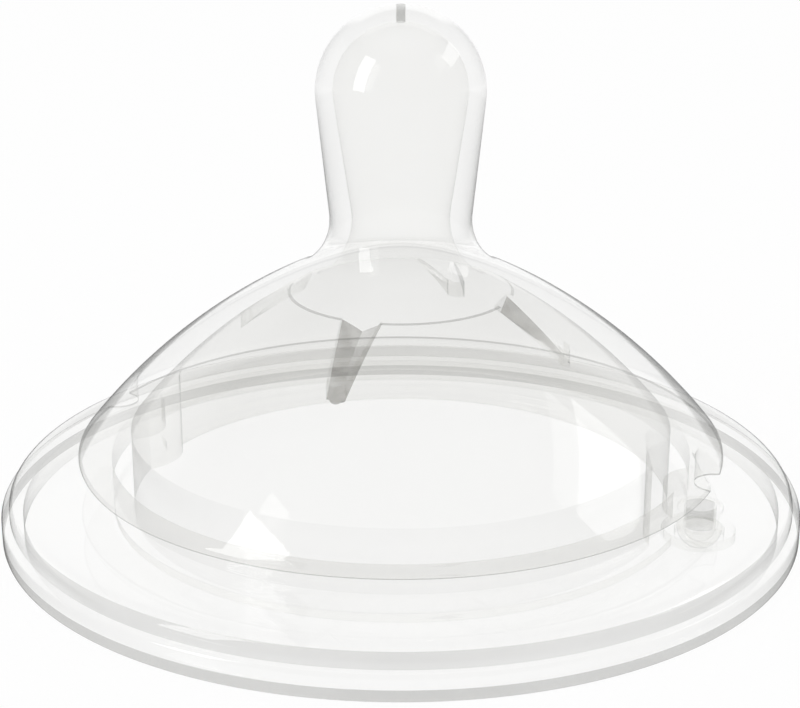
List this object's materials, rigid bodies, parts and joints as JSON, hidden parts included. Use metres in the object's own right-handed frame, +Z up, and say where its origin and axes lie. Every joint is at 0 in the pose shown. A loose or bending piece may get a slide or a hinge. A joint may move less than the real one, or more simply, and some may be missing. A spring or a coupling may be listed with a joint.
{
  "type": "feeding bottle teat",
  "caption": "Clear silicone teat for a wide-neck feeding bottle: round-ended nipple on a broad ribbed dome, lipped collar groove and sealing flange with a slit vent valve.",
  "frame": {"origin": "centre of the sealing rim's underside, which is the part's lowest plane", "axes": "+Z up the nipple's axis, +X through the vent valve"},
  "size_m": [0.06, 0.06, 0.0384],
  "materials": {
    "silicone": "gloss"
  },
  "bodies": {
    "base": {"dome_shell": "silicone", "dome_lip": "silicone", "neck_ring": "silicone", "recess_backing_vent": "silicone", "recess_backing_plain": "silicone", "flange": "silicone", "sealing_rim": "silicone", "vent_tube": "silicone", "vent_boss": "silicone", "dome_rib_1": "silicone", "dome_rib_2": "silicone", "dome_rib_3": "silicone", "dome_rib_4": "silicone", "nipple_root": "silicone"},
    "nipple": {"nipple_stem": "silicone"},
    "nipple_end": {"nipple_tip": "silicone"},
    "valve_left": {"vent_lip_left": "silicone"},
    "valve_right": {"vent_lip_right": "silicone"}
  },
  "joints": [
    {"name": "nipple_tilt", "type": "hinge", "parent": "base", "child": "nipple", "pos_m": [0, 0, 0.0205], "axis": [0, 1, 0], "range_deg": [-25, 25], "stiffness_Nm_per_rad": 0.03, "deforming": ["nipple_root"]},
    {"name": "nipple_stretch", "type": "slide", "parent": "nipple", "child": "nipple_end", "axis": [0, 0, 1], "range_m": [0, 0.004], "stiffness_N_per_m": 100},
    {"name": "valve_left_open", "type": "hinge", "parent": "base", "child": "valve_left", "pos_m": [0.0231, 0.00165, 0.00205], "axis": [1, 0, 0], "range_deg": [0, 15], "stiffness_Nm_per_rad": 0.000001, "springref_deg": -8.02},
    {"name": "valve_right_open", "type": "hinge", "parent": "base", "child": "valve_right", "pos_m": [0.0231, -0.00165, 0.00205], "axis": [-1, 0, 0], "range_deg": [0, 15], "stiffness_Nm_per_rad": 0.000001, "springref_deg": -8.02}
  ],
  "couplings": [
    {"joint": "valve_right_open", "follows": "valve_left_open", "ratio": 1}
  ]
}
